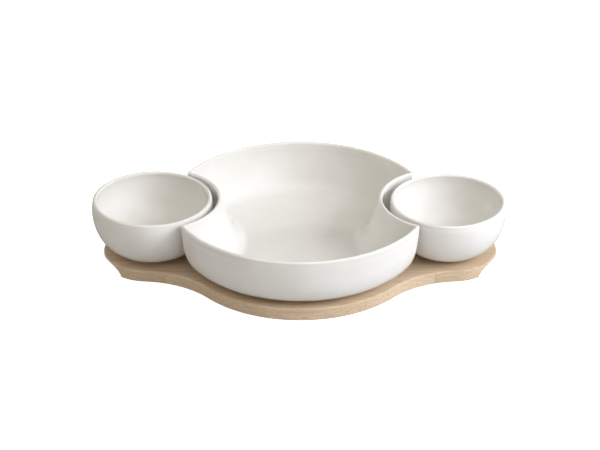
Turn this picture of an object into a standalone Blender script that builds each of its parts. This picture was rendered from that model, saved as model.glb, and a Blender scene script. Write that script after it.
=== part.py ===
"""Chip and dip server: a big centre bowl with a round bite out of each side, a small
dip bowl nested in each bite, and a waisted wooden board that all three stand on.

Units are metres. The origin is on the table under the middle of the board.
+X runs to the right dip bowl, +Y to the back, and +Z is up.
"""
import math

import bmesh
import bpy

# ---------------------------------------------------------------- driving sizes
# Board
BOARD_THICKNESS = 0.0125
CENTRE_LOBE_RADIUS = 0.1195       # the wide round middle, and so half the board's width
END_LOBE_RADIUS = 0.0473
END_LOBE_SHIFT = 0.0032           # the end lobe's axis stands this much past the dip bowl's
WAIST_RADIUS = 0.093              # the hollow curve that joins the middle to an end
EDGE_ROUND = 0.0012               # eased edge, top and bottom
STAVE_COUNT = 10                  # strips glued edge to edge across the board
EDGE_STAVE_WIDTH = 0.0175         # the front and back strips; the others share the rest
GLUE_GAP = 0.0003                 # open line between two strips

# Finger grip: a cove cut across the underside of each end
COVE_RADIUS = 0.014
COVE_LIP = 0.0019                 # wood left above the cove at its thinnest
COVE_SETBACK = 0.0067             # from the end of the board in to the cove's axis

# Stoneware, shared by all three bowls
WALL = 0.004
FLOOR = 0.005
FOOT_HEIGHT = 0.002
FOOT_WIDTH = 0.005
RIM_LAND = 0.0002                 # half of the narrow flat on the crest of the rounded rim

# Centre bowl
CENTRE_RADIUS = 0.1285             # outside of the rim
CENTRE_HEIGHT = 0.0572            # foot to rim
CENTRE_FOOT_RADIUS = 0.0805
CENTRE_FOOT_WAIST = 0.034         # half the foot's width where the bites narrow it
CENTRE_BELLY = 3.45               # power of the outer curve: a higher one is squarer
CENTRE_HOLLOW_BELLY = 2.4         # power of the inner curve
CENTRE_FLOOR_INSET = 0.022        # from the inner face at the rim in to the flat floor
BITE_DRAFT = 0.12                 # lean of the bite's outer face, per unit of depth
BITE_HOLLOW_DRAFT = 0.25          # lean of its inner face
BITE_BELLY = 6.0
BITE_HOLLOW_BELLY = 4.0

# Dip bowls: the sizes are the left one's, and the right one is the same shape a little smaller
RIGHT_DIP_SHARE = 0.965
DIP_SPACING = 0.1465              # from the middle of the board to a dip bowl's axis
DIP_RADIUS = 0.0601               # at the widest part of the belly
DIP_RIM_INSET = 0.0011            # from the belly in to the outside of the rim
DIP_HEIGHT = 0.0577
DIP_BELLY_HEIGHT = 0.0475         # from the foot up to the widest part
DIP_FOOT_RADIUS = 0.0225
DIP_FLOOR_RADIUS = 0.014
DIP_BELLY = 2.1                   # power of the curve under the belly

# Clearances
REST_GAP = 0.0003                 # under a foot standing in its seat
SEAT_DEPTH = 0.0015
SEAT_CLEARANCE = 0.001            # all round a foot in its seat
NEST_CLEARANCE = 0.001            # the bite's radius over the dip bowl's
NEST_SHIFT = 0.0037               # the bite's axis stands this much nearer the middle
OVERCUT = 0.004                   # how far a cutter runs past what it cuts

# How finely round parts are turned
CENTRE_STEPS = 64
BITE_STEPS = 64
DIP_STEPS = 40
COVE_STEPS = 48
WALL_POINTS = 11
RIM_POINTS = 3
SWELL_POINTS = 2
EDGE_SEGMENTS = 2
ARC_STEP = math.radians(5.0)
SHARP_EDGE = math.radians(60.0)   # the board's edges are eased where they turn more than this
FLAT_EDGE = math.radians(1.0)     # edges that turn less than this are dissolved
WELD_DISTANCE = 0.00001

# ---------------------------------------------------------------- places that follow
SEAT_Z = BOARD_THICKNESS - SEAT_DEPTH
FOOT_Z = SEAT_Z + REST_GAP
BASE_Z = FOOT_Z + FOOT_HEIGHT
FLOOR_Z = BASE_Z + FLOOR
CENTRE_TOP = FOOT_Z + CENTRE_HEIGHT
DIP_TOP = FOOT_Z + DIP_HEIGHT
HALF_WALL = WALL / 2

END_LOBE_CENTRE = DIP_SPACING + END_LOBE_SHIFT
BOARD_HALF_LENGTH = END_LOBE_CENTRE + END_LOBE_RADIUS
INNER_STAVE_WIDTH = 2 * (CENTRE_LOBE_RADIUS - EDGE_STAVE_WIDTH) / (STAVE_COUNT - 2)

BITE_RADIUS = DIP_RADIUS + NEST_CLEARANCE
BITE_CENTRE = DIP_SPACING - NEST_SHIFT
BITE_FOOT_RADIUS = BITE_CENTRE - CENTRE_FOOT_WAIST
DIP_RIM_RADIUS = DIP_RADIUS - DIP_RIM_INSET


# ---------------------------------------------------------------- scene helpers
def clear_scene():
    for obj in list(bpy.data.objects):
        bpy.data.objects.remove(obj, do_unlink=True)


def new_collection(name):
    collection = bpy.data.collections.new(name)
    bpy.context.scene.collection.children.link(collection)
    return collection


def new_material(name, color, roughness, metallic=0.0):
    material = bpy.data.materials.new(name)
    material.use_nodes = True
    shader = material.node_tree.nodes["Principled BSDF"]
    shader.inputs["Base Color"].default_value = (*color, 1.0)
    shader.inputs["Roughness"].default_value = roughness
    shader.inputs["Metallic"].default_value = metallic
    return material


def new_part(name, mesh, material):
    obj = bpy.data.objects.new(name, mesh)
    mesh.materials.clear()
    mesh.materials.append(material)
    parts.objects.link(obj)
    return obj


def new_cutter(name, mesh):
    obj = bpy.data.objects.new(name, mesh)
    obj.hide_render = True
    obj.display_type = 'WIRE'
    cutters.objects.link(obj)
    return obj


def boolean(obj, other, operation):
    modifier = obj.modifiers.new(f"{operation.title()} {other.name}", 'BOOLEAN')
    modifier.operation = operation
    modifier.solver = 'EXACT'
    modifier.object = other


def ease_edges(obj):
    modifier = obj.modifiers.new("Ease edges", 'BEVEL')
    modifier.limit_method = 'ANGLE'
    modifier.angle_limit = SHARP_EDGE
    modifier.width = EDGE_ROUND
    modifier.segments = EDGE_SEGMENTS


def profile_mesh(name, profile):
    """(radius, height) points, joined into one line in the XZ plane."""
    mesh = bpy.data.meshes.new(name)
    edges = [(i, i + 1) for i in range(len(profile) - 1)]
    mesh.from_pydata([(radius, 0.0, z) for radius, z in profile], edges, [])
    return mesh


def turn(obj, steps):
    """Turn a profile about the object's own Z. It starts and ends on the axis and runs
    down the outer side."""
    screw = obj.modifiers.new("Turn", 'SCREW')
    screw.axis = 'Z'
    screw.angle = 2 * math.pi
    screw.steps = steps
    screw.render_steps = steps
    screw.use_merge_vertices = True
    screw.merge_threshold = WELD_DISTANCE
    screw.use_smooth_shade = True


# ---------------------------------------------------------------- a bowl's wall in section
def wall_curve(depth, reach, power, draft=0.0):
    """(inset, down) pairs down a wall that starts at its draft and turns through a
    superelliptic corner until it lies flat, reach further in and depth further down."""
    corner = reach - draft * depth
    pairs = []
    for i in range(WALL_POINTS + 1):
        angle = 0.5 * math.pi * i / WALL_POINTS
        down = depth * math.sin(angle) ** (2 / power)
        turned_in = 1 - max(math.cos(angle), 0.0) ** (2 / power)
        pairs.append((draft * down + corner * turned_in, down))
    return pairs


def rim_curve():
    """(away, down) pairs from the flat on the rim's crest round to the face of the wall."""
    start = math.asin(RIM_LAND / HALF_WALL)
    pairs = []
    for i in range(RIM_POINTS + 1):
        angle = start + (0.5 * math.pi - start) * i / RIM_POINTS
        pairs.append((HALF_WALL * math.sin(angle), HALF_WALL * (math.cos(start) - math.cos(angle))))
    return pairs


def wall_face(crest, face_side, lean, top, curve):
    """One face of a wall, from the rim's crest down, as (radius, height) points.
    face_side is +1 for the face outside the crest's radius and -1 for the one inside it.
    lean is -1 where the wall leans in towards the axis going down, +1 where it leans out."""
    points = [(crest + face_side * away, top - down) for away, down in rim_curve()]
    face, shoulder = points[-1]
    points += [(face + lean * inset, shoulder - down) for inset, down in curve[1:]]
    return points


# ---------------------------------------------------------------- centre bowl
def with_bites(obj, bite_mesh):
    """Cut the same turned shape out of a round body at both bites."""
    for side, x in (("left", -BITE_CENTRE), ("right", BITE_CENTRE)):
        cutter = new_cutter(f"{bite_mesh.name}_{side}", bite_mesh)
        cutter.location.x = x
        turn(cutter, BITE_STEPS)
        boolean(obj, cutter, 'DIFFERENCE')


def hourglass_disc(name, inset, top, bottom):
    """The outline of the centre bowl's foot, set in by inset, as a cutter."""
    radius = CENTRE_FOOT_RADIUS - inset
    disc = new_cutter(name, profile_mesh(name, [(0, top), (radius, top), (radius, bottom), (0, bottom)]))
    turn(disc, CENTRE_STEPS)
    bite = BITE_FOOT_RADIUS + inset
    high, low = top + OVERCUT, bottom - OVERCUT
    with_bites(disc, profile_mesh(f"{name}_bite", [(0, high), (bite, high), (bite, low), (0, low)]))
    return disc


def make_centre_bowl(material):
    crest = CENTRE_RADIUS - HALF_WALL
    bite_crest = BITE_RADIUS + HALF_WALL
    rim_drop = rim_curve()[-1][1]
    depth = CENTRE_TOP - rim_drop - BASE_Z
    hollow_depth = CENTRE_TOP - rim_drop - FLOOR_Z
    above = CENTRE_TOP + OVERCUT

    # Outer shape: a round body less two bites that flare towards the base
    curve = wall_curve(depth, CENTRE_RADIUS - CENTRE_FOOT_RADIUS, CENTRE_BELLY)
    profile = [(0, CENTRE_TOP)] + wall_face(crest, 1, -1, CENTRE_TOP, curve)
    profile += [(CENTRE_FOOT_RADIUS, FOOT_Z), (0, FOOT_Z)]
    bowl = new_part("centre_bowl", profile_mesh("centre_bowl", profile), material)
    turn(bowl, CENTRE_STEPS)

    curve = wall_curve(depth, BITE_FOOT_RADIUS - BITE_RADIUS, BITE_BELLY, BITE_DRAFT)
    face = wall_face(bite_crest, -1, 1, CENTRE_TOP, curve)
    below = FOOT_Z - OVERCUT
    with_bites(bowl, profile_mesh("bite", [(0, above), (face[0][0], above)] + face
                                  + [(BITE_FOOT_RADIUS, below), (0, below)]))

    # Hollow: the same plan, one wall further in
    curve = wall_curve(hollow_depth, CENTRE_FLOOR_INSET, CENTRE_HOLLOW_BELLY)
    face = wall_face(crest, -1, -1, CENTRE_TOP, curve)
    profile = [(0, above), (face[0][0], above)] + face + [(0, FLOOR_Z)]
    hollow = new_cutter("centre_hollow", profile_mesh("centre_hollow", profile))
    turn(hollow, CENTRE_STEPS)

    curve = wall_curve(hollow_depth, CENTRE_FLOOR_INSET, BITE_HOLLOW_BELLY, BITE_HOLLOW_DRAFT)
    face = wall_face(bite_crest, 1, 1, CENTRE_TOP, curve)
    high, low = above + OVERCUT, FLOOR_Z - OVERCUT
    with_bites(hollow, profile_mesh("hollow_bite", [(0, high), (face[0][0], high)] + face
                                    + [(face[-1][0], low), (0, low)]))
    boolean(bowl, hollow, 'DIFFERENCE')

    # Foot ring: what is left round a shallow recess in the base
    boolean(bowl, hourglass_disc("foot_recess", FOOT_WIDTH, BASE_Z, FOOT_Z - OVERCUT), 'DIFFERENCE')
    return bowl


# ---------------------------------------------------------------- dip bowls
def dip_face(rim_radius, belly_radius, floor_radius, floor_z, face_side):
    """One face of a dip bowl from the crest down: rim, belly, then the curve underneath."""
    crest = DIP_RIM_RADIUS - HALF_WALL
    points = [(crest + face_side * away, DIP_TOP - down) for away, down in rim_curve()]
    shoulder = points[-1][1]
    belly_z = FOOT_Z + DIP_BELLY_HEIGHT
    for i in range(1, SWELL_POINTS + 1):
        share = 1 - i / SWELL_POINTS
        swell = (belly_radius - rim_radius) * (1 - share ** 2)
        points.append((rim_radius + swell, belly_z + share * (shoulder - belly_z)))
    curve = wall_curve(belly_z - floor_z, belly_radius - floor_radius, DIP_BELLY)
    return points + [(belly_radius - inset, belly_z - down) for inset, down in curve[1:]]


def make_dip_bowl(name, x, share, material):
    """Turn the whole section of a dip bowl about its axis. share scales it about its foot."""
    outer = dip_face(DIP_RIM_RADIUS, DIP_RADIUS, DIP_FOOT_RADIUS, BASE_Z, 1)
    inner = dip_face(DIP_RIM_RADIUS - WALL, DIP_RADIUS - WALL, DIP_FLOOR_RADIUS, FLOOR_Z, -1)
    foot_hollow = DIP_FOOT_RADIUS - FOOT_WIDTH
    profile = [(0, FLOOR_Z)] + inner[::-1] + outer
    profile += [(DIP_FOOT_RADIUS, FOOT_Z), (foot_hollow, FOOT_Z), (foot_hollow, BASE_Z), (0, BASE_Z)]
    profile = [(share * radius, FOOT_Z + share * (z - FOOT_Z)) for radius, z in profile]
    bowl = new_part(name, profile_mesh(name, profile), material)
    bowl.location.x = x
    turn(bowl, DIP_STEPS)
    return bowl


# ---------------------------------------------------------------- board
def arc(cx, cy, radius, start, end):
    """Points along an arc, from angle start to angle end, both included."""
    count = max(2, round(abs(end - start) / ARC_STEP))
    angles = [start + (end - start) * i / count for i in range(count + 1)]
    return [(cx + radius * math.cos(a), cy + radius * math.sin(a)) for a in angles]


def board_outline():
    """The whole outline, anticlockwise: four mirrored quarters of an end lobe, the hollow
    waist curve that touches both lobes, and the centre lobe."""
    reach_centre = CENTRE_LOBE_RADIUS + WAIST_RADIUS
    reach_end = END_LOBE_RADIUS + WAIST_RADIUS
    waist_x = (END_LOBE_CENTRE ** 2 + reach_centre ** 2 - reach_end ** 2) / (2 * END_LOBE_CENTRE)
    waist_y = math.sqrt(reach_centre ** 2 - waist_x ** 2)
    end_angle = math.atan2(waist_y, waist_x - END_LOBE_CENTRE)
    centre_angle = math.atan2(waist_y, waist_x)

    quarter = arc(END_LOBE_CENTRE, 0, END_LOBE_RADIUS, 0, end_angle)
    quarter += arc(waist_x, waist_y, WAIST_RADIUS, end_angle - math.pi, centre_angle - math.pi)[1:]
    quarter += arc(0, 0, CENTRE_LOBE_RADIUS, centre_angle, 0.5 * math.pi)[1:]

    back = quarter + [(-x, y) for x, y in quarter[-2::-1]]
    return back + [(x, -y) for x, y in back[-2:0:-1]]


def board_blank():
    """The outline, filled and given its thickness, as one closed mesh."""
    outline = board_outline()
    curve = bpy.data.curves.new("board_outline", 'CURVE')
    curve.dimensions = '2D'
    curve.fill_mode = 'BOTH'
    curve.extrude = BOARD_THICKNESS / 2
    spline = curve.splines.new('POLY')
    spline.points.add(len(outline) - 1)
    for point, (x, y) in zip(spline.points, outline):
        point.co = (x, y, 0, 1)
    spline.use_cyclic_u = True
    guide = bpy.data.objects.new("board_outline", curve)
    cutters.objects.link(guide)

    evaluated = guide.evaluated_get(bpy.context.evaluated_depsgraph_get())
    mesh = bpy.data.meshes.new_from_object(evaluated)
    bpy.data.objects.remove(guide)
    welded = bmesh.new()
    welded.from_mesh(mesh)
    bmesh.ops.remove_doubles(welded, verts=welded.verts, dist=WELD_DISTANCE)
    bmesh.ops.dissolve_limit(welded, angle_limit=FLAT_EDGE, verts=welded.verts, edges=welded.edges)
    bmesh.ops.translate(welded, verts=welded.verts, vec=(0, 0, BOARD_THICKNESS / 2))
    bmesh.ops.recalc_face_normals(welded, faces=welded.faces)
    welded.to_mesh(mesh)
    welded.free()
    return mesh


def box_cutter(name, low, high):
    mesh = bpy.data.meshes.new(name)
    box = bmesh.new()
    bmesh.ops.create_cube(box, size=1.0)
    for vert in box.verts:
        vert.co = [(a + b) / 2 + c * (b - a) for a, b, c in zip(low, high, vert.co)]
    box.to_mesh(mesh)
    box.free()
    return new_cutter(name, mesh)


def cove_cutter(name, side):
    """A long round bar under one end, lying along Y."""
    mesh = bpy.data.meshes.new(name)
    bar = bmesh.new()
    bmesh.ops.create_cone(bar, cap_ends=True, segments=COVE_STEPS, radius1=COVE_RADIUS,
                          radius2=COVE_RADIUS, depth=2 * CENTRE_LOBE_RADIUS)
    bar.to_mesh(mesh)
    bar.free()
    cutter = new_cutter(name, mesh)
    cutter.rotation_euler.x = 0.5 * math.pi
    cutter.location = (side * (BOARD_HALF_LENGTH - COVE_SETBACK), 0,
                       BOARD_THICKNESS - COVE_LIP - COVE_RADIUS)
    return cutter


def dip_seat_cutter(name, x):
    radius = DIP_FOOT_RADIUS + SEAT_CLEARANCE
    top = BOARD_THICKNESS + OVERCUT
    seat = new_cutter(name, profile_mesh(name, [(0, top), (radius, top), (radius, SEAT_Z), (0, SEAT_Z)]))
    seat.location.x = x
    turn(seat, DIP_STEPS)
    return seat


def stave_joints():
    """Where the glue lines lie, front to back, with the board's two outer edges."""
    first = -CENTRE_LOBE_RADIUS + EDGE_STAVE_WIDTH
    inner = [first + i * INNER_STAVE_WIDTH for i in range(STAVE_COUNT - 1)]
    return [-CENTRE_LOBE_RADIUS - OVERCUT] + inner + [CENTRE_LOBE_RADIUS + OVERCUT]


def make_board(material):
    blank = board_blank()
    cuts = [cove_cutter("cove_left", -1), cove_cutter("cove_right", 1),
            dip_seat_cutter("dip_seat_left", -DIP_SPACING),
            dip_seat_cutter("dip_seat_right", DIP_SPACING),
            hourglass_disc("centre_seat", -SEAT_CLEARANCE, BOARD_THICKNESS + OVERCUT, SEAT_Z)]
    joints = stave_joints()
    for i in range(STAVE_COUNT):
        stave = new_part(f"board_stave_{i + 1:02d}", blank, material)
        ease_edges(stave)
        for cut in cuts:
            boolean(stave, cut, 'DIFFERENCE')
        low = (-BOARD_HALF_LENGTH - OVERCUT, joints[i] + GLUE_GAP / 2, -OVERCUT)
        high = (BOARD_HALF_LENGTH + OVERCUT, joints[i + 1] - GLUE_GAP / 2, BOARD_THICKNESS + OVERCUT)
        boolean(stave, box_cutter(f"stave_slice_{i + 1:02d}", low, high), 'INTERSECT')


# ---------------------------------------------------------------- build
clear_scene()
parts = new_collection("chip_and_dip_server")
cutters = new_collection("cutters")
glaze = new_material("white_stoneware_glaze", (0.80, 0.78, 0.74), 0.15)
beech = new_material("pale_beech", (0.56, 0.40, 0.26), 0.5)

make_board(beech)
make_centre_bowl(glaze)
make_dip_bowl("left_dip_bowl", -DIP_SPACING, 1.0, glaze)
make_dip_bowl("right_dip_bowl", DIP_SPACING, RIGHT_DIP_SHARE, glaze)
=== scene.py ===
# %% [markdown]
# A chip and dip server, finished in Blender
#
# The object is four loose things: a waisted board glued up from strips of pale beech, a big
# stoneware bowl with a round bite out of each side, and two small dip bowls that nest in the
# bites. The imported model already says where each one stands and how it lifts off. This lesson
# gives each one a fine surface and a real finish, and changes none of those places.

import math

import bmesh
import bpy
import numpy as np
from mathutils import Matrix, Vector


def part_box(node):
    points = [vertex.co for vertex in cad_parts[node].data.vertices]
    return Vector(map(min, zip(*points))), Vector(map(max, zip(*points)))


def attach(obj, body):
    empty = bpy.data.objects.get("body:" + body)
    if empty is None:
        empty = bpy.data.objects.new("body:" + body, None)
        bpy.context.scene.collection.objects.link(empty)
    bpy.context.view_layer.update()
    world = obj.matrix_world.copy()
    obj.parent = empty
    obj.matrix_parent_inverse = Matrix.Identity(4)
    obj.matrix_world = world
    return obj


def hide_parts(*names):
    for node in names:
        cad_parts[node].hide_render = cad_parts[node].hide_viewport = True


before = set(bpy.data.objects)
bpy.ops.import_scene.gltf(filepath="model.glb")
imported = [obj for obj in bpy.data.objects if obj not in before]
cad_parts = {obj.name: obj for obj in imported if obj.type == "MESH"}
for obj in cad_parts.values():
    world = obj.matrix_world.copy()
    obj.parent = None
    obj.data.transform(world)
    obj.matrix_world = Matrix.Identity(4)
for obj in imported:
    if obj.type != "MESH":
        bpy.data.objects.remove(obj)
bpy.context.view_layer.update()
MM = 0.001

# %% [markdown]
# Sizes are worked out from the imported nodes, so that the fine surfaces follow the model. A
# node's box gives rim radius, rim height and foot height. What a box can't say, such as the
# wall's thickness or the shape of a curve under a belly, is a named value here.

# %% Read places from the nodes
low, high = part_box("centre_bowl")
centre_radius = high.y
centre_top = high.z
foot_z = low.z

low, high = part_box("left_dip_bowl")
dip_x = -(low.x + high.x) / 2
dip_radius = (high.x - low.x) / 2
dip_top = high.z
low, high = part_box("right_dip_bowl")
right_dip_share = (high.x - low.x) / 2 / dip_radius

low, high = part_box("board_stave_05")
board_end = high.x
board_top = high.z
joint_low, joint_high = low.y, high.y
board_half_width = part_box("board_stave_10")[1].y

WALL = 4.0 * MM
HALF_WALL = WALL / 2
FLOOR = 5.0 * MM
FOOT_HEIGHT = 2.0 * MM
FOOT_WIDTH = 5.0 * MM
base_z = foot_z + FOOT_HEIGHT
floor_z = base_z + FLOOR
print("rim radius", round(centre_radius / MM, 1), "dip radius", round(dip_radius / MM, 1),
      "board end", round(board_end / MM, 1), "board half width", round(board_half_width / MM, 1))

# %% [markdown]
# The camera
#
# The set is seen from in front and about thirty degrees above, from nearly two metres away
# with a long lens, so its circles hardly taper towards the back. The camera is placed by its
# angle and distance, and then turned to look at a point just above the middle of the board.

# %% Place the camera
VIEW_ELEVATION = math.radians(29.0)
VIEW_DISTANCE = 1.8
LENS, SENSOR_WIDTH = 108.0, 36.0
view_target = (-0.0002, 0.0026, 0.0367)
view_centre = (0.0, 0.0, 0.032)


def aim(obj, target):
    """Turn an object so that its local -Z points at the target and its Y stays up."""
    direction = np.subtract(target, obj.location)
    flat = math.hypot(direction[0], direction[1])
    obj.rotation_euler = (math.atan2(flat, -direction[2]), 0.0,
                          math.atan2(direction[1], direction[0]) - math.pi / 2)


camera_data = bpy.data.cameras.new("camera")
camera_data.lens = LENS
camera_data.sensor_width = SENSOR_WIDTH
camera = bpy.data.objects.new("camera", camera_data)
bpy.context.scene.collection.objects.link(camera)
camera.location = (view_centre[0], view_centre[1] - VIEW_DISTANCE * math.cos(VIEW_ELEVATION),
                   view_centre[2] + VIEW_DISTANCE * math.sin(VIEW_ELEVATION))
aim(camera, view_target)
bpy.context.scene.camera = camera

# %% [markdown]
# The studio
#
# White tableware needs light that falls off from one side, or it turns into a flat white
# shape. A key light stands to the right. It is kept out of reflections, so that the glaze
# shows no bright square of it, and a wide, faint panel on the same side gives the glaze its
# broad sheen instead. A small light behind on the left lights the rims and floors from there,
# and one more hangs overhead. The world is warm and dim, and fills the shadows. It is darker
# in one round patch behind the set, which is what the glaze mirrors there.

# %% Light the studio
WORLD_COLOR = (1.0, 0.940, 0.84, 1.0)
WORLD_STRENGTH = 0.58
DARK_SHARE = 0.2
DARK_HEIGHT, DARK_SPREAD = math.radians(32), math.radians(34)
DARK_FADE = 0.10
dark_direction = (0.0, math.cos(DARK_HEIGHT), math.sin(DARK_HEIGHT))
dark_edge = math.cos(DARK_SPREAD)
scene = bpy.context.scene
scene.view_settings.view_transform = 'Standard'

world = bpy.data.worlds.new("studio")
scene.world = world
world.use_nodes = True
sky = world.node_tree
background = sky.nodes["Background"]
background.inputs["Color"].default_value = WORLD_COLOR
direction = sky.nodes.new("ShaderNodeTexCoord").outputs["Generated"]
toward = sky.nodes.new("ShaderNodeVectorMath")
toward.operation = 'DOT_PRODUCT'
toward.inputs[1].default_value = dark_direction
sky.links.new(direction, toward.inputs[0])
darker = sky.nodes.new("ShaderNodeMapRange")
darker.interpolation_type = 'SMOOTHSTEP'
darker.inputs["From Min"].default_value = dark_edge
darker.inputs["From Max"].default_value = dark_edge + DARK_FADE
darker.inputs["To Min"].default_value = WORLD_STRENGTH
darker.inputs["To Max"].default_value = WORLD_STRENGTH * DARK_SHARE
sky.links.new(toward.outputs["Value"], darker.inputs["Value"])
sky.links.new(darker.outputs["Result"], background.inputs["Strength"])


def soft_box(name, place, target, size, watts, color, mirrored=True):
    """A rectangular light at a place in metres, turned to a target. size is its width and
    height. A light that isn't mirrored lights the glaze without showing in it."""
    light = bpy.data.lights.new(name, 'AREA')
    light.shape = 'RECTANGLE'
    light.size, light.size_y = size
    light.energy = watts
    light.color = color
    obj = bpy.data.objects.new(name, light)
    scene.collection.objects.link(obj)
    obj.location = place
    obj.visible_glossy = mirrored
    aim(obj, target)


ORIGIN, SET_MIDDLE = (0.0, 0.0, 0.0), (0.0, 0.0, 0.03)
COOL, WHITE, WARM = (0.925, 0.985, 1.09), (1.0, 1.0, 1.0), (1.0, 0.97, 0.92)
soft_box("key_right", (1.26, -0.48, 0.80), SET_MIDDLE, (1.0, 0.8), 20.8, COOL, mirrored=False)
soft_box("sheen", (1.70, -0.70, 1.30), ORIGIN, (3.4, 2.6), 4.0, WHITE)
soft_box("back_fill", (-0.50, 1.50, 0.75), SET_MIDDLE, (1.6, 1.2), 3.6, WARM, mirrored=False)
soft_box("top", (0.0, -0.55, 1.45), ORIGIN, (1.4, 1.4), 5.0, WHITE)

# %% Lay the floor
FLOOR_REACH = 6.0
FLOOR_DROP = 0.2 * MM
PAPER_GREY = (0.55, 0.55, 0.55, 1.0)
PAPER_ROUGHNESS = 0.9
PAPER_GLOW = 0.90
floor_mesh = bpy.data.meshes.new("floor")
floor_corners = [(FLOOR_REACH * x, FLOOR_REACH * y, -FLOOR_DROP)
                 for x, y in ((-1, -1), (1, -1), (1, 1), (-1, 1))]
floor_mesh.from_pydata(floor_corners, [], [(0, 1, 2, 3)])
floor = bpy.data.objects.new("floor", floor_mesh)
scene.collection.objects.link(floor)
floor_paper = bpy.data.materials.new("floor_paper")
floor_paper.use_nodes = True
paper_shader = floor_paper.node_tree.nodes["Principled BSDF"]
paper_shader.inputs["Base Color"].default_value = PAPER_GREY
paper_shader.inputs["Roughness"].default_value = PAPER_ROUGHNESS
paper_shader.inputs["Emission Color"].default_value = (*WHITE, 1.0)
paper_glow = floor_paper.node_tree.nodes.new("ShaderNodeMath")
paper_glow.operation = 'MULTIPLY'
paper_glow.inputs[1].default_value = PAPER_GLOW
seen = floor_paper.node_tree.nodes.new("ShaderNodeLightPath").outputs["Is Camera Ray"]
floor_paper.node_tree.links.new(seen, paper_glow.inputs[0])
floor_paper.node_tree.links.new(paper_glow.outputs[0], paper_shader.inputs["Emission Strength"])
floor_mesh.materials.append(floor_paper)

# %% [markdown]
# Grids of points
#
# Every new piece starts as a grid: rows run down a profile and columns run round an outline. The
# points are worked out as whole arrays. The helper for the bowls joins a grid into quads, closing
# it round, and into triangles at each end, where a row is a single point. The board has its own.

# %% Turn a grid into a mesh
def grid_mesh(name, points):
    """A closed mesh from points[row, column]. Columns wrap round. The first and last rows are
    each one point, so their triangles meet at a pole."""
    rows, columns, _ = points.shape
    inner = points[1:-1].reshape(-1, 3)
    vertices = np.vstack([points[0, :1], inner, points[-1, :1]])
    column = np.arange(columns)
    after = (column + 1) % columns
    start = 1 + np.arange(rows - 3)[:, None] * columns
    quads = np.stack([start + column, start + columns + column,
                      start + columns + after, start + after], axis=-1).reshape(-1, 4)
    top = np.stack([np.zeros(columns, int), 1 + column, 1 + after], axis=-1)
    last = 1 + (rows - 3) * columns
    pole = np.full(columns, len(vertices) - 1)
    bottom = np.stack([last + column, pole, last + after], axis=-1)
    mesh = bpy.data.meshes.new(name)
    mesh.from_pydata(vertices.tolist(), [], top.tolist() + quads.tolist() + bottom.tolist())
    mesh.polygons.foreach_set("use_smooth", np.ones(len(mesh.polygons), bool))
    return mesh


def grid_normals(points):
    """Unit normals of a grid: the cross product of its steps down a column and along a row."""
    down = np.gradient(points, axis=0)
    along = (np.roll(points, -1, axis=1) - np.roll(points, 1, axis=1)) / 2
    normal = np.cross(down, along)
    return normal / np.maximum(np.linalg.norm(normal, axis=-1, keepdims=True), 1e-12)


def wander(x, y, z, size, seed):
    """A soft random height, mostly between -1 and 1: a quarter of the sum of ten plane waves
    of wavelength near size, each with its own direction and phase."""
    rng = np.random.default_rng(seed)
    total = np.zeros_like(x)
    for _ in range(10):
        direction = rng.normal(size=3)
        direction *= rng.uniform(0.7, 1.4) * 2 * math.pi / (size * np.linalg.norm(direction))
        total += np.sin(direction[0] * x + direction[1] * y + direction[2] * z
                        + rng.uniform(0, 2 * math.pi))
    return total / 4


def new_piece(name, mesh, body, nodes, material):
    """Link a finished mesh, give it its material, hang it on the empty of the body it rides on, and
    hide the nodes it stands for.
    """
    piece = bpy.data.objects.new(name, mesh)
    scene.collection.objects.link(piece)
    mesh.materials.clear()
    mesh.materials.append(material)
    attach(piece, body)
    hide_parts(*nodes)
    triangles = sum(len(p.vertices) - 2 for p in mesh.polygons)
    print(f"{name}: {triangles} triangles")
    return piece


# %% [markdown]
# Glaze
#
# The bowls are dipped in a warm white gloss glaze. It is never perfectly even: it pools and
# thins over a few centimetres, it keeps faint rings from the wheel under the rim and a fine
# orange peel all over, and it is wiped off the foot, where the dry clay shows. Four masks
# carry this, and one group works them out from Object coordinates, so all the bowls share it.

# %% Node helpers
def node(tree, kind, **settings):
    made = tree.nodes.new(kind)
    for key, value in settings.items():
        setattr(made, key, value)
    return made


def math_node(tree, operation, a, b=None, clamp=False):
    made = node(tree, "ShaderNodeMath", operation=operation, use_clamp=clamp)
    for socket, value in zip(made.inputs, (a, b)):
        if value is None:
            continue
        if isinstance(value, (int, float)):
            socket.default_value = value
        else:
            tree.links.new(value, socket)
    return made.outputs[0]


def noise(tree, vector, scale, detail=2.0, roughness=0.5):
    made = node(tree, "ShaderNodeTexNoise")
    made.inputs["Scale"].default_value = scale
    made.inputs["Detail"].default_value = detail
    made.inputs["Roughness"].default_value = roughness
    tree.links.new(vector, made.inputs["Vector"])
    return made.outputs["Fac"]


def ramp(tree, value, start, end, to_low=0.0, to_high=1.0):
    made = node(tree, "ShaderNodeMapRange")
    made.inputs["From Min"].default_value = start
    made.inputs["From Max"].default_value = end
    made.inputs["To Min"].default_value = to_low
    made.inputs["To Max"].default_value = to_high
    tree.links.new(value, made.inputs["Value"])
    return made.outputs["Result"]


def mix_color(tree, factor, a, b):
    made = node(tree, "ShaderNodeMix", data_type='RGBA')
    for socket, value in ((made.inputs[0], factor), (made.inputs[6], a), (made.inputs[7], b)):
        if isinstance(value, tuple):
            socket.default_value = value
        elif isinstance(value, float):
            socket.default_value = value
        else:
            tree.links.new(value, socket)
    return made.outputs[2]


def stretched(tree, vector, scale):
    made = node(tree, "ShaderNodeMapping")
    made.inputs["Scale"].default_value = scale
    tree.links.new(vector, made.inputs["Vector"])
    return made.outputs["Vector"]


def raise_surface(tree, height, shader):
    """Bend a shader's normal as if the surface stood out by a height in metres."""
    bump = node(tree, "ShaderNodeBump")
    bump.inputs["Distance"].default_value = 1.0
    tree.links.new(height, bump.inputs["Height"])
    tree.links.new(bump.outputs["Normal"], shader.inputs["Normal"])


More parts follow.
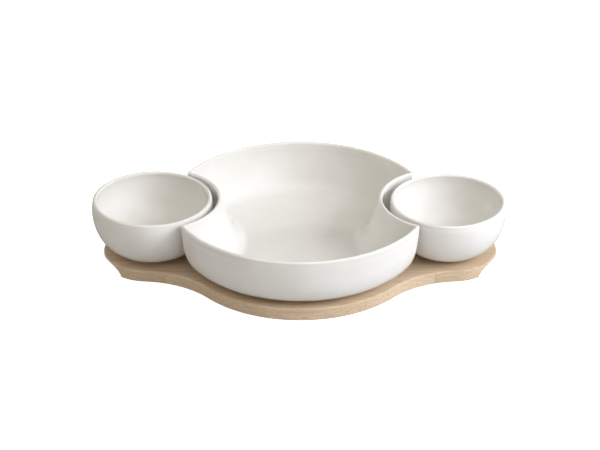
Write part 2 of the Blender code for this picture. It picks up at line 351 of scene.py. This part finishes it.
def new_group(name, inputs, outputs):
    """An empty shader group. inputs and outputs are (name, kind) pairs."""
    group = bpy.data.node_groups.new(name, "ShaderNodeTree")
    for socket, kind in inputs:
        group.interface.new_socket(socket, in_out='INPUT', socket_type=kind)
    for socket, kind in outputs:
        group.interface.new_socket(socket, in_out='OUTPUT', socket_type=kind)
    return group, group.nodes.new("NodeGroupInput").outputs, group.nodes.new("NodeGroupOutput").inputs


# %% Glaze group
RING_STRETCH = (2.0, 2.0, 280.0)
RINGS_FULL, RINGS_FADED, RINGS_LEFT = 4.0 * MM, 22.0 * MM, 0.35
RING_PATCH_SCALE, SKIN_SCALE, CLOUD_SCALE, WIPE_SCALE = 14.0, 420.0, 22.0, 160.0
RING_PATCH_RANGE, CLOUD_RANGE = (0.40, 0.65), (0.35, 0.65)
WIPE_WAVE, WIPE_LOW, WIPE_HIGH = 0.6 * MM, 0.3 * MM, 0.7 * MM


def make_glaze_group():
    group, given, gives = new_group(
        "glaze_surface",
        [("Place", 'NodeSocketVector'), ("Rim Height", 'NodeSocketFloat'),
         ("Foot Height", 'NodeSocketFloat')],
        [("Rings", 'NodeSocketFloat'), ("Skin", 'NodeSocketFloat'), ("Cloud", 'NodeSocketFloat'),
         ("Bare", 'NodeSocketFloat')])
    place = given["Place"]
    split = node(group, "ShaderNodeSeparateXYZ")
    group.links.new(place, split.inputs[0])
    z = split.outputs["Z"]

    # Wheel rings: fine lines level with the rim, in patches, full strength for a few
    # millimetres under it and then fading to a third
    lines = noise(group, stretched(group, place, RING_STRETCH), 1.0, 2.0, 0.6)
    below = math_node(group, 'SUBTRACT', given["Rim Height"], z)
    near_rim = ramp(group, below, RINGS_FADED, RINGS_FULL, RINGS_LEFT, 1.0)
    patches = ramp(group, noise(group, place, RING_PATCH_SCALE, 1.0), *RING_PATCH_RANGE)
    strength = math_node(group, 'MULTIPLY', near_rim, patches)
    group.links.new(math_node(group, 'MULTIPLY', lines, strength), gives["Rings"])

    # Skin: the slight orange peel of any glaze, about two millimetres across
    group.links.new(noise(group, place, SKIN_SCALE, 1.0), gives["Skin"])

    # Cloud: thicker and thinner glaze over a few centimetres
    group.links.new(noise(group, place, CLOUD_SCALE, 2.0), gives["Cloud"])

    # Bare clay: the bottom of the foot, with an uneven glaze line
    edge = math_node(group, 'MULTIPLY', noise(group, place, WIPE_SCALE, 2.0), WIPE_WAVE)
    over_foot = math_node(group, 'SUBTRACT', z, given["Foot Height"])
    over_edge = math_node(group, 'SUBTRACT', over_foot, edge)
    group.links.new(ramp(group, over_edge, WIPE_HIGH, WIPE_LOW), gives["Bare"])
    return group


glaze_group = make_glaze_group()


# %% Glaze material
GLAZE_THIN = (0.752, 0.735, 0.700, 1.0)
GLAZE_THICK = (0.790, 0.777, 0.750, 1.0)
BARE_CLAY = (0.62, 0.55, 0.46, 1.0)
RING_TINT, RING_TINT_SHARE = (0.66, 0.64, 0.60, 1.0), 0.90
GLAZE_ROUGHNESS, CLAY_ROUGHNESS = 0.035, 0.85
RING_RELIEF, SKIN_RELIEF = 0.35 * MM, 0.012 * MM
GLAZE_IOR = 1.5


def make_glaze(name, rim_height):
    material = bpy.data.materials.new(name)
    material.use_nodes = True
    tree = material.node_tree
    shader = tree.nodes["Principled BSDF"]
    place = node(tree, "ShaderNodeTexCoord").outputs["Object"]
    surface = node(tree, "ShaderNodeGroup", node_tree=glaze_group)
    tree.links.new(place, surface.inputs["Place"])
    surface.inputs["Rim Height"].default_value = rim_height
    surface.inputs["Foot Height"].default_value = foot_z

    cloud = ramp(tree, surface.outputs["Cloud"], *CLOUD_RANGE)
    white = mix_color(tree, cloud, GLAZE_THIN, GLAZE_THICK)
    tint = math_node(tree, 'MULTIPLY', surface.outputs["Rings"], RING_TINT_SHARE)
    ringed = mix_color(tree, tint, white, RING_TINT)
    bare = surface.outputs["Bare"]
    tree.links.new(mix_color(tree, bare, ringed, BARE_CLAY), shader.inputs["Base Color"])
    tree.links.new(ramp(tree, bare, 0.0, 1.0, GLAZE_ROUGHNESS, CLAY_ROUGHNESS),
                   shader.inputs["Roughness"])

    rings = math_node(tree, 'MULTIPLY', surface.outputs["Rings"], RING_RELIEF)
    skin = math_node(tree, 'MULTIPLY', surface.outputs["Skin"], SKIN_RELIEF)
    raise_surface(tree, math_node(tree, 'ADD', rings, skin), shader)
    shader.inputs["IOR"].default_value = GLAZE_IOR
    return material


centre_glaze = make_glaze("centre_bowl_glaze", centre_top)
dip_glaze = make_glaze("dip_bowl_glaze", dip_top)

# %% [markdown]
# A wall in section
#
# Both bowls have walls that start nearly upright under the rim and turn in a soft corner until
# they lie flat. A superellipse draws that in one formula: with s the share of the way down, the
# wall has come in by 1 - (1 - s^n)^(1/n) of its reach. A higher power n is a squarer bowl.

# %% Wall and rim formulas
def wall_inset(down, depth, reach, power, draft=0.0):
    """How far a wall has come in at each distance down: draft * down, plus the rest of its
    reach times 1 - (1 - s^power)^(1/power), where s = down / depth."""
    s = np.clip(down / depth, 0.0, 1.0)
    return draft * down + (reach - draft * depth) * (1 - (1 - s ** power) ** (1 / power))


def wall_depths(depth, power, count):
    """Distances down a wall, closer together where it turns: depth * sin(a)^(2/power) for
    even steps of a from 0 to a right angle."""
    return depth * np.sin(np.linspace(0, math.pi / 2, count)) ** (2 / power)


RIM_STEPS = 9
rim_angle = np.linspace(0, math.pi / 2, RIM_STEPS)
rim_away = HALF_WALL * np.sin(rim_angle)
rim_down = HALF_WALL * (1 - np.cos(rim_angle))

# %% [markdown]
# Dip bowls
#
# A dip bowl is thrown on a wheel, so it is one profile carried round a circle. The profile runs
# from the middle of the inside floor, up the inner wall, over the rounded rim, down the belly,
# round the foot ring and back to the axis. The clay is never quite true: the surface is sunk
# by a few hundredths of a millimetre, and in places by a few tenths, which bends its reflections
# a little. The depth is a squared wander: a square has no crease where the wander crosses zero.

# %% Make the dip bowls
DIP_RIM_INSET = 1.1 * MM
DIP_BELLY_HEIGHT = 47.5 * MM
DIP_FOOT_RADIUS = 22.5 * MM
DIP_FLOOR_RADIUS = 14.0 * MM
DIP_BELLY = 2.1
DIP_FOOT_SOFTNESS = 0.5 * MM
DIP_COLUMNS, DIP_WALL_ROWS, DIP_FLAT_ROWS, DIP_SWELL_ROWS = 288, 34, 7, 7
DIP_SINK, DIP_SINK_SIZE = 0.07 * MM, 28 * MM
FOOT_FADE, AXIS_FADE = 6 * MM, 3 * MM


def dip_face(radius, side, end_radius, end_z, count):
    """(radius, z) rows of one face from the rim's crest down: the rounded rim, a gentle swell
    out to the belly, then the superelliptic curve under it. side is +1 outside, -1 inside."""
    belly_z = foot_z + DIP_BELLY_HEIGHT
    crest = dip_radius - DIP_RIM_INSET - HALF_WALL
    shoulder_z = dip_top - HALF_WALL
    rim = np.stack([crest + side * rim_away, dip_top - rim_down], -1)
    share = np.linspace(1, 0, DIP_SWELL_ROWS + 1)[1:]
    swell = np.stack([radius - DIP_RIM_INSET * share ** 2,
                      belly_z + share * (shoulder_z - belly_z)], -1)
    depth = belly_z - end_z
    down = wall_depths(depth, DIP_BELLY, count)[1:]
    come_in = wall_inset(down, depth, radius - end_radius, DIP_BELLY)
    under = np.stack([radius - come_in, belly_z - down], -1)
    return np.vstack([rim, swell, under])


def dip_profile():
    """All the (radius, z) rows, from the middle of the floor over the rim to the base."""
    outer = dip_face(dip_radius, 1, DIP_FOOT_RADIUS, base_z, DIP_WALL_ROWS)
    inner = dip_face(dip_radius - WALL, -1, DIP_FLOOR_RADIUS, floor_z, DIP_WALL_ROWS)
    floor_rows = np.stack([DIP_FLOOR_RADIUS * np.linspace(0, 1, DIP_FLAT_ROWS + 1)[:-1],
                           np.full(DIP_FLAT_ROWS, floor_z)], -1)
    inside = DIP_FOOT_RADIUS - FOOT_WIDTH
    turn = np.linspace(0, math.pi / 2, 5)
    soft = DIP_FOOT_SOFTNESS
    foot = np.vstack([
        np.stack([DIP_FOOT_RADIUS - soft + soft * np.cos(turn),
                  foot_z + soft - soft * np.sin(turn)], -1),
        np.stack([inside + soft - soft * np.sin(turn), foot_z + soft - soft * np.cos(turn)], -1)])
    base = np.stack([inside * np.linspace(1, 0, DIP_FLAT_ROWS + 1),
                     np.full(DIP_FLAT_ROWS + 1, base_z)], -1)
    return np.vstack([floor_rows, inner[::-1], outer[1:], foot, base])


def make_dip_bowl(side, share, seed):
    """Point (row, angle) = (r cos a, r sin a, z), sunk along its normal by a squared wander
    that fades out at the foot and at the axis. share scales the profile about the foot."""
    profile = dip_profile() * share
    profile[:, 1] += foot_z * (1 - share)
    angle = np.linspace(0, 2 * math.pi, DIP_COLUMNS, endpoint=False)
    radius, z = profile[:, :1], profile[:, 1:]
    points = np.stack([radius * np.cos(angle), radius * np.sin(angle),
                       np.broadcast_to(z, (len(z), DIP_COLUMNS))], -1)
    sink = DIP_SINK * wander(*np.moveaxis(points, -1, 0), DIP_SINK_SIZE, seed) ** 2
    fade = np.clip((z - base_z) / FOOT_FADE, 0, 1) * np.clip(radius / AXIS_FADE, 0, 1)
    points = points - grid_normals(points) * sink[..., None] * fade[..., None]
    points[..., 0] += side * dip_x
    mesh = grid_mesh("dip_bowl", points)
    name = "left" if side < 0 else "right"
    return new_piece(f"{name}_dip_glazed", mesh, f"{name}_dip_bowl",
                     [f"{name}_dip_bowl"], dip_glaze)


make_dip_bowl(-1, share=1.0, seed=3)
make_dip_bowl(1, share=right_dip_share, seed=4)

# %% [markdown]
# The centre bowl's outline
#
# Seen from above, the centre bowl is a circle with a smaller circle bitten out of each side and
# its four corners rounded. Going down the wall, the big circle shrinks and the bites grow, so
# the same outline formula with other radii gives every level. Each level has the same number
# of points in each stretch, which lets the levels be joined into one smooth skin.

# %% Outline formula
ARC_POINTS, TIP_POINTS, BITE_POINTS = 112, 12, 96
BITE_SETBACK, BITE_MARGIN = 3.7 * MM, 1.0 * MM
BITE_CENTRE = dip_x - BITE_SETBACK
BITE_RADIUS = dip_radius + BITE_MARGIN
TIP_OUTSIDE = 3.4 * MM


def sweep(cx, cy, radius, start, end, count):
    """count points along an arc, without its last point, for arrays of levels."""
    share = np.arange(count) / count
    angle = start[:, None] + (end - start)[:, None] * share
    return np.stack([cx[:, None] + radius[:, None] * np.cos(angle),
                     cy[:, None] + radius[:, None] * np.sin(angle)], -1)


def hourglass(radius, bite, corner):
    """Levels of the outline, each from front middle anticlockwise. The corner's arc touches the
    big circle from inside and the bite from outside, so its centre is radius - corner from the
    middle and bite + corner from the bite's axis."""
    radius, bite, corner = np.broadcast_arrays(*map(np.atleast_1d, (radius, bite, corner)))
    inner, outer = radius - corner, bite + corner
    cx = (inner ** 2 - outer ** 2 + BITE_CENTRE ** 2) / (2 * BITE_CENTRE)
    cy = np.sqrt(inner ** 2 - cx ** 2)
    out = np.arctan2(cy, cx)
    back = np.arctan2(cy, cx - BITE_CENTRE)
    zero, axis = np.zeros_like(cx), np.full_like(cx, BITE_CENTRE)
    quarter = math.pi / 2
    right = np.concatenate([
        sweep(zero, zero, radius, zero - quarter, -out, ARC_POINTS),
        sweep(cx, -cy, corner, -out, math.pi - back, TIP_POINTS),
        sweep(axis, zero, bite, 2 * math.pi - back, back, BITE_POINTS),
        sweep(cx, cy, corner, back - math.pi, out, TIP_POINTS),
        sweep(zero, zero, radius, out, zero + quarter, ARC_POINTS)], axis=1)
    return np.concatenate([right, -right], axis=1)


outline = hourglass(centre_radius, BITE_RADIUS, TIP_OUTSIDE)[0]
print("outline points:", len(outline), "reach right:", round(outline[:, 0].max() / MM, 1), "mm")

# %% [markdown]
# The centre bowl's skin
#
# The rows go from the middle of the floor out to the inner wall, up it, over the rim, down the
# outside, round the foot ring and back under the base. For each row we only state four things:
# the big circle's radius, the bite's radius, the corner's radius and the height.

# %% Make the centre bowl
CENTRE_FOOT_RADIUS = 80.5 * MM
CENTRE_FOOT_WAIST = 34.0 * MM
CENTRE_FLOOR_INSET = 22.0 * MM
BITE_FLOOR_INSET = 27.0 * MM
CENTRE_BELLY, CENTRE_HOLLOW_BELLY = 3.45, 2.4
BITE_DRAFT, BITE_HOLLOW_DRAFT = 0.12, 0.25
BITE_BELLY, BITE_HOLLOW_BELLY = 6.0, 2.6
TIP_CREST, TIP_INSIDE = 2.0 * MM, 2.6 * MM
TIP_AT_FLOOR, TIP_AT_BASE = 16.0 * MM, 8.0 * MM
CENTRE_FOOT_SOFTNESS = 0.4 * MM
OUTER_ROWS, INNER_ROWS, FLAT_ROWS, ROW_SPACING = 52, 46, 12, 3.5
CENTRE_SINK, CENTRE_SINK_SIZE, CENTRE_SEED = 0.12 * MM, 34 * MM, 7
CENTRE_FADE = 4 * MM
bite_foot = BITE_CENTRE - CENTRE_FOOT_WAIST


def centre_wall(side, end_z, count, reach, bite_reach, powers, draft, tips):
    """Rows (circle, bite, corner, z) of one face from the rim's crest down. powers are those
    of the circle's wall and the bite's, and tips are the corner's radius under the rim and
    at the end."""
    shoulder = centre_top - HALF_WALL
    depth = shoulder - end_z
    down = wall_depths(depth, ROW_SPACING, count)[1:]
    s = down / depth
    rim = np.stack([centre_radius - HALF_WALL + side * rim_away,
                    BITE_RADIUS + HALF_WALL - side * rim_away,
                    TIP_CREST + (tips[0] - TIP_CREST) * rim_away / HALF_WALL,
                    centre_top - rim_down], -1)
    circle = rim[-1, 0] - wall_inset(down, depth, reach, powers[0])
    bite = rim[-1, 1] + wall_inset(down, depth, bite_reach, powers[1], draft)
    corner = tips[0] + (tips[1] - tips[0]) * s
    return np.vstack([rim, np.stack([circle, bite, corner, shoulder - down], -1)])


def centre_rows():
    """The inner face's rows, and the outer face's with the foot ring's after them."""
    outer = centre_wall(1, base_z, OUTER_ROWS,
                        centre_radius - CENTRE_FOOT_RADIUS, bite_foot - BITE_RADIUS,
                        (CENTRE_BELLY, BITE_BELLY), BITE_DRAFT, (TIP_OUTSIDE, TIP_AT_BASE))
    inner = centre_wall(-1, floor_z, INNER_ROWS, CENTRE_FLOOR_INSET, BITE_FLOOR_INSET,
                        (CENTRE_HOLLOW_BELLY, BITE_HOLLOW_BELLY), BITE_HOLLOW_DRAFT,
                        (TIP_INSIDE, TIP_AT_FLOOR))
    soft = CENTRE_FOOT_SOFTNESS
    foot = [(CENTRE_FOOT_RADIUS - inset, bite_foot + inset, TIP_AT_BASE - inset, z)
            for inset, z in ((0.0, foot_z + soft), (soft, foot_z), (FOOT_WIDTH - soft, foot_z),
                             (FOOT_WIDTH, foot_z + soft), (FOOT_WIDTH, base_z))]
    return inner, np.vstack([outer[1:], foot])


def row_points(rows):
    """Each row's outline, lifted to its height."""
    flat = hourglass(*rows[:, :3].T)
    z = np.broadcast_to(rows[:, 3:, None], flat.shape[:2] + (1,))
    return np.concatenate([flat, z], -1)


def make_centre_bowl():
    """The floor and the base are their edge outline scaled down to a point; the skin between
    them is the wall rows. Every point is then sunk along its normal by a squared wander that
    fades out at the foot."""
    inner, outer = (row_points(rows) for rows in centre_rows())
    shrink = np.linspace(0, 1, FLAT_ROWS + 1)[:-1, None, None]
    floor_rows = inner[-1:] * np.array([1, 1, 0]) * shrink + np.array([0, 0, floor_z])
    base_rows = outer[-1:] * np.array([1, 1, 0]) * shrink[::-1] + np.array([0, 0, base_z])
    points = np.concatenate([floor_rows, inner[::-1], outer, base_rows])
    sink = CENTRE_SINK * wander(*np.moveaxis(points, -1, 0), CENTRE_SINK_SIZE, CENTRE_SEED) ** 2
    fade = np.clip((points[..., 2] - base_z) / CENTRE_FADE, 0, 1)
    points = points - grid_normals(points) * (sink * fade)[..., None]
    return new_piece("centre_bowl_glazed", grid_mesh("centre_bowl_skin", points), "centre_bowl",
                     ["centre_bowl"], centre_glaze)


make_centre_bowl()

# %% [markdown]
# The board
#
# A workshop would glue ten strips edge to edge, bandsaw the waisted outline, ease the edges with
# a router, and then sink shallow seats for the three feet and a finger cove under each end. We
# make the whole board the same way: a numpy outline with eased edges, cutters for the seats and
# coves, and last a slice for each strip, so that each strip stays a piece of its own.

# %% Board outline
END_LOBE_RADIUS = 47.3 * MM
WAIST_RADIUS = 93.0 * MM
EDGE_ROUND = 1.2 * MM
SEAT_DEPTH = 1.5 * MM
SEAT_CLEARANCE = 1.0 * MM
SEAT_CHAMFER = 0.5 * MM
CUTTER_OVERLAP = 2.0 * MM
COVE_RADIUS, COVE_LIP, COVE_SETBACK = 14.0 * MM, 1.9 * MM, 6.7 * MM
LOBE_POINTS, WAIST_POINTS, END_POINTS = 64, 48, 120
SEAT_POINTS, COVE_POINTS, EDGE_ROWS = 160, 128, 7
end_centre = board_end - END_LOBE_RADIUS


def board_outline(inset):
    """Levels of the outline, each set in by a distance. Both kinds of lobe shrink by it and the
    hollow waist grows by it, about the same centres, so the three arcs stay tangent."""
    inset = np.atleast_1d(inset)
    lobe, end, waist = board_half_width - inset, END_LOBE_RADIUS - inset, WAIST_RADIUS + inset
    reach_lobe, reach_end = board_half_width + WAIST_RADIUS, END_LOBE_RADIUS + WAIST_RADIUS
    waist_x = (end_centre ** 2 + reach_lobe ** 2 - reach_end ** 2) / (2 * end_centre)
    waist_y = math.sqrt(reach_lobe ** 2 - waist_x ** 2)
    end_turn = math.atan2(waist_y, waist_x - end_centre)
    lobe_turn = math.atan2(waist_y, waist_x)
    zero, same = np.zeros_like(inset), np.ones_like(inset)
    quarter, half = math.pi / 2 * same, math.pi * same
    right = np.concatenate([
        sweep(zero, zero, lobe, -quarter, -lobe_turn * same, LOBE_POINTS),
        sweep(waist_x * same, -waist_y * same, waist, half - lobe_turn, half - end_turn, WAIST_POINTS),
        sweep(end_centre * same, zero, end, -end_turn * same, end_turn * same, END_POINTS),
        sweep(waist_x * same, waist_y * same, waist, end_turn - half, lobe_turn - half, WAIST_POINTS),
        sweep(zero, zero, lobe, lobe_turn * same, quarter, LOBE_POINTS)], axis=1)
    return np.concatenate([right, -right], axis=1)


def with_heights(flat, heights):
    """Levels of a plan outline, each lifted to its height."""
    z = np.broadcast_to(np.asarray(heights)[:, None, None], flat.shape[:2] + (1,))
    return np.concatenate([flat, z], -1)


def capped_mesh(name, points):
    """A closed mesh from points[row, column], rows going down: quads between the rows, and the
    first and last rows each filled with one flat face."""
    rows, columns, _ = points.shape
    column = np.arange(columns)
    after = (column + 1) % columns
    start = np.arange(rows - 1)[:, None] * columns
    quads = np.stack([start + column, start + columns + column,
                      start + columns + after, start + after], axis=-1).reshape(-1, 4)
    last = (rows - 1) * columns
    caps = [column.tolist(), (last + column[::-1]).tolist()]
    mesh = bpy.data.meshes.new(name)
    mesh.from_pydata(points.reshape(-1, 3).tolist(), [], quads.tolist() + caps)
    return mesh


# %% Cut the board's seats and coves
def solid(name, mesh):
    obj = bpy.data.objects.new(name, mesh)
    scene.collection.objects.link(obj)
    return obj


def seat_levels(outline_at):
    """A seat cutter, top down: a chamfered mouth and then straight walls to the seat's floor."""
    offsets = np.array([SEAT_CHAMFER, SEAT_CHAMFER, 0.0, 0.0])
    heights = board_top + np.array([CUTTER_OVERLAP, 0.0, -SEAT_CHAMFER, -SEAT_DEPTH])
    return with_heights(outline_at(offsets), heights)


def centre_seat_outline(offset):
    """The foot's own outline, larger by the seat's clearance and an offset."""
    grow = SEAT_CLEARANCE + offset
    return hourglass(CENTRE_FOOT_RADIUS + grow, bite_foot - grow, TIP_AT_BASE + grow)


def dip_seat_outline(side):
    """A circle round one dip bowl's foot, as a function of the offset."""
    def at(offset):
        zero, same = np.zeros_like(offset), np.ones_like(offset)
        return sweep(side * dip_x * same, zero, DIP_FOOT_RADIUS + SEAT_CLEARANCE + offset,
                     zero, 2 * math.pi * same, SEAT_POINTS)
    return at


def cove_mesh(side):
    """A round bar lying along Y under one end: a circle of points in X and Z, at two ends."""
    angle = np.linspace(0, 2 * math.pi, COVE_POINTS, endpoint=False)
    x = side * (board_end - COVE_SETBACK) + COVE_RADIUS * np.cos(angle)
    z = board_top - COVE_LIP - COVE_RADIUS + COVE_RADIUS * np.sin(angle)
    ends = np.array([board_half_width, -board_half_width])
    points = np.stack(np.broadcast_arrays(x[None], ends[:, None], z[None]), -1)
    return capped_mesh("cove", points[:, ::-1])


def carved_board():
    """The blank with every cutter taken away, as one mesh."""
    turn = np.linspace(0, math.pi / 2, EDGE_ROWS)
    inset = EDGE_ROUND * (1 - np.sin(turn))
    drop = EDGE_ROUND * (1 - np.cos(turn))
    insets = np.concatenate([inset, inset[::-1]])
    heights = np.concatenate([board_top - drop, drop[::-1]])
    blank_rows = with_heights(board_outline(insets), heights)
    blank = solid("board_blank", capped_mesh("board_blank", blank_rows))
    tools = [solid("centre_seat", capped_mesh("centre_seat", seat_levels(centre_seat_outline)))]
    for side in (-1, 1):
        seat = seat_levels(dip_seat_outline(side))
        tools.append(solid("dip_seat", capped_mesh("dip_seat", seat)))
        tools.append(solid("cove", cove_mesh(side)))
    for tool in tools:
        cut = blank.modifiers.new(tool.name, 'BOOLEAN')
        cut.operation = 'DIFFERENCE'
        cut.solver = 'EXACT'
        cut.object = tool
    graph = bpy.context.evaluated_depsgraph_get()
    carved = bpy.data.meshes.new_from_object(blank.evaluated_get(graph))
    for obj in [blank] + tools:
        bpy.data.objects.remove(obj)
    return carved


# %% [markdown]
# Beech
#
# Each strip is cut from another plank, so each gets its own random tone, its own shift of the
# grain and its own heart, the middle of the tree. Growth rings are circles round the heart,
# streaks and dark flecks run along the strip, and a faint dark line marks each glued joint.

# %% Wood group
STAVES = 10
STAVE_GAP = 0.3 * MM
GLUE_LINE = 0.06 * MM
STRIP_SEED, STRIP_SHIFT = 3.7, 5.0
HEART_SPREAD, HEART_CORNER = (0.0, 0.10, 0.05), (0.0, -0.05, -0.075)
YEAR_WIDTH, YEAR_BEND, YEAR_STRETCH = 3.2 * MM, 16 * MM, (5.0, 30.0, 30.0)
STREAK_STRETCH, FLECK_STRETCH = (16.0, 420.0, 420.0), (240.0, 2400.0, 1500.0)
FLECK_RANGE, STREAK_RANGE, ROUGH_RANGE = (0.62, 0.72), (0.38, 0.64), (0.35, 0.65)
JOINT_DARK, JOINT_GONE = 0.10 * MM, 0.30 * MM
stave_width = joint_high - joint_low + STAVE_GAP
first_joint = -(STAVES / 2 - 1) * stave_width


def make_wood_group():
    group, given, gives = new_group(
        "beech_grain", [("Place", 'NodeSocketVector')],
        [("Figure", 'NodeSocketFloat'), ("Streak", 'NodeSocketFloat'), ("Fleck", 'NodeSocketFloat'),
         ("Strip", 'NodeSocketFloat'), ("Joint", 'NodeSocketFloat')])
    place = given["Place"]
    split = node(group, "ShaderNodeSeparateXYZ")
    group.links.new(place, split.inputs[0])

    # Which strip a point is in, as a whole number, and a random shift and tone for each
    from_joint = math_node(group, 'SUBTRACT', split.outputs["Y"], first_joint)
    across = math_node(group, 'DIVIDE', from_joint, stave_width)
    whole = math_node(group, 'FLOOR', across)
    index = math_node(group, 'MINIMUM', math_node(group, 'MAXIMUM', whole, -1.0), STAVES - 2.0)
    random = node(group, "ShaderNodeTexWhiteNoise", noise_dimensions='1D')
    group.links.new(math_node(group, 'ADD', index, STRIP_SEED), random.inputs["W"])
    group.links.new(random.outputs["Value"], gives["Strip"])
    spread = node(group, "ShaderNodeVectorMath", operation='SCALE')
    group.links.new(random.outputs["Color"], spread.inputs[0])
    spread.inputs["Scale"].default_value = STRIP_SHIFT
    moved = node(group, "ShaderNodeVectorMath", operation='ADD')
    group.links.new(place, moved.inputs[0])
    group.links.new(spread.outputs[0], moved.inputs[1])
    own = moved.outputs[0]

    # Growth rings: distance from a heart line along X under the board, bent by slow noise
    pith = node(group, "ShaderNodeVectorMath", operation='MULTIPLY_ADD')
    group.links.new(random.outputs["Color"], pith.inputs[0])
    pith.inputs[1].default_value = HEART_SPREAD
    pith.inputs[2].default_value = HEART_CORNER
    local = node(group, "ShaderNodeCombineXYZ")
    inside = math_node(group, 'SUBTRACT', math_node(group, 'SUBTRACT', across, index), 0.5)
    group.links.new(math_node(group, 'MULTIPLY', inside, stave_width), local.inputs["Y"])
    group.links.new(split.outputs["Z"], local.inputs["Z"])
    reach = node(group, "ShaderNodeVectorMath", operation='DISTANCE')
    group.links.new(local.outputs[0], reach.inputs[0])
    group.links.new(pith.outputs[0], reach.inputs[1])
    slow = noise(group, stretched(group, own, YEAR_STRETCH), 1.0, 2.0)
    bend = math_node(group, 'MULTIPLY', slow, YEAR_BEND)
    distance = math_node(group, 'ADD', reach.outputs["Value"], bend)
    years = math_node(group, 'MULTIPLY', distance, 2 * math.pi / YEAR_WIDTH)
    wave = math_node(group, 'SINE', years)
    group.links.new(math_node(group, 'MULTIPLY_ADD', wave, 0.5), gives["Figure"])

    streak = noise(group, stretched(group, own, STREAK_STRETCH), 1.0, 3.0, 0.6)
    group.links.new(streak, gives["Streak"])
    dash = noise(group, stretched(group, own, FLECK_STRETCH), 1.0, 1.0)
    group.links.new(ramp(group, dash, *FLECK_RANGE), gives["Fleck"])

    # The glue line: dark up to a tenth of a millimetre from a joint, gone at three tenths
    edge = math_node(group, 'SUBTRACT', 0.5, math_node(group, 'ABSOLUTE', inside))
    from_edge = math_node(group, 'MULTIPLY', edge, stave_width)
    group.links.new(ramp(group, from_edge, JOINT_GONE, JOINT_DARK), gives["Joint"])
    return group


# %% Wood material
WOOD_PALE = (0.705, 0.557, 0.402, 1.0)
WOOD_DARK = (0.540, 0.396, 0.260, 1.0)
WOOD_FLECK = (0.30, 0.19, 0.11, 1.0)
STRIP_SHARE, FIGURE_SHARE, STREAK_SHARE = 0.30, 0.22, 0.48
FLECK_SHARE, JOINT_SHARE = 0.55, 0.07
WOOD_SMOOTH, WOOD_ROUGH = 0.46, 0.58
STREAK_RELIEF, FLECK_RELIEF = 0.10 * MM, -0.05 * MM


def make_wood():
    material = bpy.data.materials.new("board_beech")
    material.use_nodes = True
    tree = material.node_tree
    shader = tree.nodes["Principled BSDF"]
    grain = node(tree, "ShaderNodeGroup", node_tree=make_wood_group())
    tree.links.new(node(tree, "ShaderNodeTexCoord").outputs["Object"], grain.inputs["Place"])

    strip = math_node(tree, 'MULTIPLY', grain.outputs["Strip"], STRIP_SHARE)
    figure = math_node(tree, 'MULTIPLY', grain.outputs["Figure"], FIGURE_SHARE)
    streak = ramp(tree, grain.outputs["Streak"], *STREAK_RANGE, 0.0, STREAK_SHARE)
    tone = math_node(tree, 'ADD', math_node(tree, 'ADD', strip, figure), streak, clamp=True)
    body = mix_color(tree, tone, WOOD_PALE, WOOD_DARK)
    fleck = math_node(tree, 'MULTIPLY', grain.outputs["Fleck"], FLECK_SHARE)
    joint = math_node(tree, 'MULTIPLY', grain.outputs["Joint"], JOINT_SHARE)
    joined = mix_color(tree, joint, mix_color(tree, fleck, body, WOOD_FLECK), WOOD_FLECK)
    tree.links.new(joined, shader.inputs["Base Color"])
    tree.links.new(ramp(tree, grain.outputs["Streak"], *ROUGH_RANGE, WOOD_SMOOTH, WOOD_ROUGH),
                   shader.inputs["Roughness"])

    raised = math_node(tree, 'MULTIPLY', grain.outputs["Streak"], STREAK_RELIEF)
    sunk = math_node(tree, 'MULTIPLY', grain.outputs["Fleck"], FLECK_RELIEF)
    raise_surface(tree, math_node(tree, 'ADD', raised, sunk), shader)
    return material


# %% Slice the board into its ten strips
SHARP_EDGE = math.radians(35)


def make_board():
    """Each strip is the carved board between two planes across Y, with the cut faces closed."""
    carved = carved_board()
    wood = make_wood()
    for i in range(STAVES):
        strip = bmesh.new()
        strip.from_mesh(carved)
        planes = []
        if i > 0:
            planes.append((first_joint + (i - 1) * stave_width + GLUE_LINE / 2, -1))
        if i < STAVES - 1:
            planes.append((first_joint + i * stave_width - GLUE_LINE / 2, 1))
        for y, facing in planes:
            everything = strip.verts[:] + strip.edges[:] + strip.faces[:]
            cut = bmesh.ops.bisect_plane(strip, geom=everything, plane_co=(0, y, 0),
                                         plane_no=(0, facing, 0), clear_outer=True)
            rim = [e for e in cut["geom_cut"] if isinstance(e, bmesh.types.BMEdge)]
            bmesh.ops.holes_fill(strip, edges=rim, sides=0)
        bmesh.ops.recalc_face_normals(strip, faces=strip.faces)
        mesh = bpy.data.meshes.new(f"strip_{i + 1:02d}")
        strip.to_mesh(mesh)
        strip.free()
        mesh.shade_smooth()
        mesh.set_sharp_from_angle(angle=SHARP_EDGE)
        piece = new_piece(f"beech_strip_{i + 1:02d}", mesh, "board",
                          [f"board_stave_{i + 1:02d}"], wood)
        even = piece.modifiers.new("Flat faces stay flat", 'WEIGHTED_NORMAL')
        even.keep_sharp = True


make_board()
